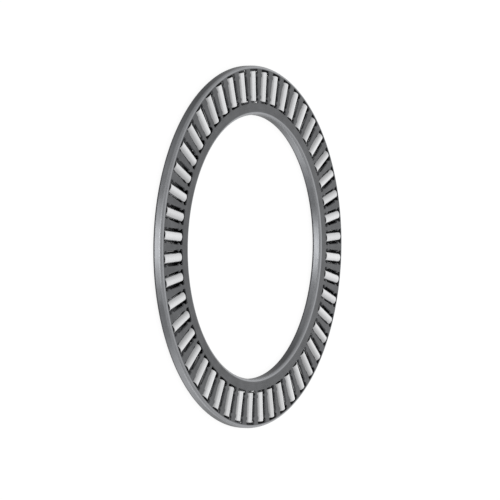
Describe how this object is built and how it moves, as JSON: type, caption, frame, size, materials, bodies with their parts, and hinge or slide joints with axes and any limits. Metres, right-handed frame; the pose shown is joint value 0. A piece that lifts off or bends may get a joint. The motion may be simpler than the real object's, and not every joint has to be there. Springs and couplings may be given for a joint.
{
  "type": "axial needle roller and cage assembly",
  "caption": "Flat ring-shaped two-shell pressed cage carrying one row of radially lying steel rollers that stand proud of both faces, for a thrust bearing.",
  "frame": {"origin": "centre of the ring, on the bearing's axis and in the plane of the rollers' axes", "axes": "+Z along the bearing's axis, out of the front face of the cage; +X through the axis of roller_01"},
  "size_m": [0.0896, 0.0896, 0.003],
  "materials": {
    "cage_steel": "dark satin, as pressed",
    "roller_steel": "ground and polished"
  },
  "bodies": {
    "cage": {"cage_front_shell": "cage_steel", "cage_rear_shell": "cage_steel"},
    "roller_01": {"roller_01": "roller_steel"},
    "roller_02": {"roller_02": "roller_steel"},
    "roller_03": {"roller_03": "roller_steel"},
    "roller_04": {"roller_04": "roller_steel"},
    "roller_05": {"roller_05": "roller_steel"},
    "roller_06": {"roller_06": "roller_steel"},
    "roller_07": {"roller_07": "roller_steel"},
    "roller_08": {"roller_08": "roller_steel"},
    "roller_09": {"roller_09": "roller_steel"},
    "roller_10": {"roller_10": "roller_steel"},
    "roller_11": {"roller_11": "roller_steel"},
    "roller_12": {"roller_12": "roller_steel"},
    "roller_13": {"roller_13": "roller_steel"},
    "roller_14": {"roller_14": "roller_steel"},
    "roller_15": {"roller_15": "roller_steel"},
    "roller_16": {"roller_16": "roller_steel"},
    "roller_17": {"roller_17": "roller_steel"},
    "roller_18": {"roller_18": "roller_steel"},
    "roller_19": {"roller_19": "roller_steel"},
    "roller_20": {"roller_20": "roller_steel"},
    "roller_21": {"roller_21": "roller_steel"},
    "roller_22": {"roller_22": "roller_steel"},
    "roller_23": {"roller_23": "roller_steel"},
    "roller_24": {"roller_24": "roller_steel"},
    "roller_25": {"roller_25": "roller_steel"},
    "roller_26": {"roller_26": "roller_steel"},
    "roller_27": {"roller_27": "roller_steel"},
    "roller_28": {"roller_28": "roller_steel"},
    "roller_29": {"roller_29": "roller_steel"},
    "roller_30": {"roller_30": "roller_steel"},
    "roller_31": {"roller_31": "roller_steel"},
    "roller_32": {"roller_32": "roller_steel"},
    "roller_33": {"roller_33": "roller_steel"},
    "roller_34": {"roller_34": "roller_steel"},
    "roller_35": {"roller_35": "roller_steel"},
    "roller_36": {"roller_36": "roller_steel"},
    "roller_37": {"roller_37": "roller_steel"},
    "roller_38": {"roller_38": "roller_steel"},
    "roller_39": {"roller_39": "roller_steel"},
    "roller_40": {"roller_40": "roller_steel"},
    "roller_41": {"roller_41": "roller_steel"},
    "roller_42": {"roller_42": "roller_steel"},
    "roller_43": {"roller_43": "roller_steel"},
    "roller_44": {"roller_44": "roller_steel"},
    "roller_45": {"roller_45": "roller_steel"},
    "roller_46": {"roller_46": "roller_steel"},
    "roller_47": {"roller_47": "roller_steel"},
    "roller_48": {"roller_48": "roller_steel"}
  },
  "joints": [
    {"name": "roller_01_spin", "type": "hinge", "parent": "cage", "child": "roller_01", "pos_m": [0.03975, 0, 0], "axis": [1, 0, 0], "continuous": true},
    {"name": "roller_02_spin", "type": "hinge", "parent": "cage", "child": "roller_02", "pos_m": [0.03941, 0.00519, 0], "axis": [0.9914, 0.1305, 0], "continuous": true},
    {"name": "roller_03_spin", "type": "hinge", "parent": "cage", "child": "roller_03", "pos_m": [0.0384, 0.01029, 0], "axis": [0.9659, 0.2588, 0], "continuous": true},
    {"name": "roller_04_spin", "type": "hinge", "parent": "cage", "child": "roller_04", "pos_m": [0.03672, 0.01521, 0], "axis": [0.9239, 0.3827, 0], "continuous": true},
    {"name": "roller_05_spin", "type": "hinge", "parent": "cage", "child": "roller_05", "pos_m": [0.03442, 0.01988, 0], "axis": [0.866, 0.5, 0], "continuous": true},
    {"name": "roller_06_spin", "type": "hinge", "parent": "cage", "child": "roller_06", "pos_m": [0.03154, 0.0242, 0], "axis": [0.7934, 0.6088, 0], "continuous": true},
    {"name": "roller_07_spin", "type": "hinge", "parent": "cage", "child": "roller_07", "pos_m": [0.02811, 0.02811, 0], "axis": [0.7071, 0.7071, 0], "continuous": true},
    {"name": "roller_08_spin", "type": "hinge", "parent": "cage", "child": "roller_08", "pos_m": [0.0242, 0.03154, 0], "axis": [0.6088, 0.7934, 0], "continuous": true},
    {"name": "roller_09_spin", "type": "hinge", "parent": "cage", "child": "roller_09", "pos_m": [0.01988, 0.03442, 0], "axis": [0.5, 0.866, 0], "continuous": true},
    {"name": "roller_10_spin", "type": "hinge", "parent": "cage", "child": "roller_10", "pos_m": [0.01521, 0.03672, 0], "axis": [0.3827, 0.9239, 0], "continuous": true},
    {"name": "roller_11_spin", "type": "hinge", "parent": "cage", "child": "roller_11", "pos_m": [0.01029, 0.0384, 0], "axis": [0.2588, 0.9659, 0], "continuous": true},
    {"name": "roller_12_spin", "type": "hinge", "parent": "cage", "child": "roller_12", "pos_m": [0.00519, 0.03941, 0], "axis": [0.1305, 0.9914, 0], "continuous": true},
    {"name": "roller_13_spin", "type": "hinge", "parent": "cage", "child": "roller_13", "pos_m": [0, 0.03975, 0], "axis": [0, 1, 0], "continuous": true},
    {"name": "roller_14_spin", "type": "hinge", "parent": "cage", "child": "roller_14", "pos_m": [-0.00519, 0.03941, 0], "axis": [-0.1305, 0.9914, 0], "continuous": true},
    {"name": "roller_15_spin", "type": "hinge", "parent": "cage", "child": "roller_15", "pos_m": [-0.01029, 0.0384, 0], "axis": [-0.2588, 0.9659, 0], "continuous": true},
    {"name": "roller_16_spin", "type": "hinge", "parent": "cage", "child": "roller_16", "pos_m": [-0.01521, 0.03672, 0], "axis": [-0.3827, 0.9239, 0], "continuous": true},
    {"name": "roller_17_spin", "type": "hinge", "parent": "cage", "child": "roller_17", "pos_m": [-0.01988, 0.03442, 0], "axis": [-0.5, 0.866, 0], "continuous": true},
    {"name": "roller_18_spin", "type": "hinge", "parent": "cage", "child": "roller_18", "pos_m": [-0.0242, 0.03154, 0], "axis": [-0.6088, 0.7934, 0], "continuous": true},
    {"name": "roller_19_spin", "type": "hinge", "parent": "cage", "child": "roller_19", "pos_m": [-0.02811, 0.02811, 0], "axis": [-0.7071, 0.7071, 0], "continuous": true},
    {"name": "roller_20_spin", "type": "hinge", "parent": "cage", "child": "roller_20", "pos_m": [-0.03154, 0.0242, 0], "axis": [-0.7934, 0.6088, 0], "continuous": true},
    {"name": "roller_21_spin", "type": "hinge", "parent": "cage", "child": "roller_21", "pos_m": [-0.03442, 0.01988, 0], "axis": [-0.866, 0.5, 0], "continuous": true},
    {"name": "roller_22_spin", "type": "hinge", "parent": "cage", "child": "roller_22", "pos_m": [-0.03672, 0.01521, 0], "axis": [-0.9239, 0.3827, 0], "continuous": true},
    {"name": "roller_23_spin", "type": "hinge", "parent": "cage", "child": "roller_23", "pos_m": [-0.0384, 0.01029, 0], "axis": [-0.9659, 0.2588, 0], "continuous": true},
    {"name": "roller_24_spin", "type": "hinge", "parent": "cage", "child": "roller_24", "pos_m": [-0.03941, 0.00519, 0], "axis": [-0.9914, 0.1305, 0], "continuous": true},
    {"name": "roller_25_spin", "type": "hinge", "parent": "cage", "child": "roller_25", "pos_m": [-0.03975, 0, 0], "axis": [-1, 0, 0], "continuous": true},
    {"name": "roller_26_spin", "type": "hinge", "parent": "cage", "child": "roller_26", "pos_m": [-0.03941, -0.00519, 0], "axis": [-0.9914, -0.1305, 0], "continuous": true},
    {"name": "roller_27_spin", "type": "hinge", "parent": "cage", "child": "roller_27", "pos_m": [-0.0384, -0.01029, 0], "axis": [-0.9659, -0.2588, 0], "continuous": true},
    {"name": "roller_28_spin", "type": "hinge", "parent": "cage", "child": "roller_28", "pos_m": [-0.03672, -0.01521, 0], "axis": [-0.9239, -0.3827, 0], "continuous": true},
    {"name": "roller_29_spin", "type": "hinge", "parent": "cage", "child": "roller_29", "pos_m": [-0.03442, -0.01988, 0], "axis": [-0.866, -0.5, 0], "continuous": true},
    {"name": "roller_30_spin", "type": "hinge", "parent": "cage", "child": "roller_30", "pos_m": [-0.03154, -0.0242, 0], "axis": [-0.7934, -0.6088, 0], "continuous": true},
    {"name": "roller_31_spin", "type": "hinge", "parent": "cage", "child": "roller_31", "pos_m": [-0.02811, -0.02811, 0], "axis": [-0.7071, -0.7071, 0], "continuous": true},
    {"name": "roller_32_spin", "type": "hinge", "parent": "cage", "child": "roller_32", "pos_m": [-0.0242, -0.03154, 0], "axis": [-0.6088, -0.7934, 0], "continuous": true},
    {"name": "roller_33_spin", "type": "hinge", "parent": "cage", "child": "roller_33", "pos_m": [-0.01988, -0.03442, 0], "axis": [-0.5, -0.866, 0], "continuous": true},
    {"name": "roller_34_spin", "type": "hinge", "parent": "cage", "child": "roller_34", "pos_m": [-0.01521, -0.03672, 0], "axis": [-0.3827, -0.9239, 0], "continuous": true},
    {"name": "roller_35_spin", "type": "hinge", "parent": "cage", "child": "roller_35", "pos_m": [-0.01029, -0.0384, 0], "axis": [-0.2588, -0.9659, 0], "continuous": true},
    {"name": "roller_36_spin", "type": "hinge", "parent": "cage", "child": "roller_36", "pos_m": [-0.00519, -0.03941, 0], "axis": [-0.1305, -0.9914, 0], "continuous": true},
    {"name": "roller_37_spin", "type": "hinge", "parent": "cage", "child": "roller_37", "pos_m": [0, -0.03975, 0], "axis": [0, -1, 0], "continuous": true},
    {"name": "roller_38_spin", "type": "hinge", "parent": "cage", "child": "roller_38", "pos_m": [0.00519, -0.03941, 0], "axis": [0.1305, -0.9914, 0], "continuous": true},
    {"name": "roller_39_spin", "type": "hinge", "parent": "cage", "child": "roller_39", "pos_m": [0.01029, -0.0384, 0], "axis": [0.2588, -0.9659, 0], "continuous": true},
    {"name": "roller_40_spin", "type": "hinge", "parent": "cage", "child": "roller_40", "pos_m": [0.01521, -0.03672, 0], "axis": [0.3827, -0.9239, 0], "continuous": true},
    {"name": "roller_41_spin", "type": "hinge", "parent": "cage", "child": "roller_41", "pos_m": [0.01988, -0.03442, 0], "axis": [0.5, -0.866, 0], "continuous": true},
    {"name": "roller_42_spin", "type": "hinge", "parent": "cage", "child": "roller_42", "pos_m": [0.0242, -0.03154, 0], "axis": [0.6088, -0.7934, 0], "continuous": true},
    {"name": "roller_43_spin", "type": "hinge", "parent": "cage", "child": "roller_43", "pos_m": [0.02811, -0.02811, 0], "axis": [0.7071, -0.7071, 0], "continuous": true},
    {"name": "roller_44_spin", "type": "hinge", "parent": "cage", "child": "roller_44", "pos_m": [0.03154, -0.0242, 0], "axis": [0.7934, -0.6088, 0], "continuous": true},
    {"name": "roller_45_spin", "type": "hinge", "parent": "cage", "child": "roller_45", "pos_m": [0.03442, -0.01988, 0], "axis": [0.866, -0.5, 0], "continuous": true},
    {"name": "roller_46_spin", "type": "hinge", "parent": "cage", "child": "roller_46", "pos_m": [0.03672, -0.01521, 0], "axis": [0.9239, -0.3827, 0], "continuous": true},
    {"name": "roller_47_spin", "type": "hinge", "parent": "cage", "child": "roller_47", "pos_m": [0.0384, -0.01029, 0], "axis": [0.9659, -0.2588, 0], "continuous": true},
    {"name": "roller_48_spin", "type": "hinge", "parent": "cage", "child": "roller_48", "pos_m": [0.03941, -0.00519, 0], "axis": [0.9914, -0.1305, 0], "continuous": true}
  ]
}
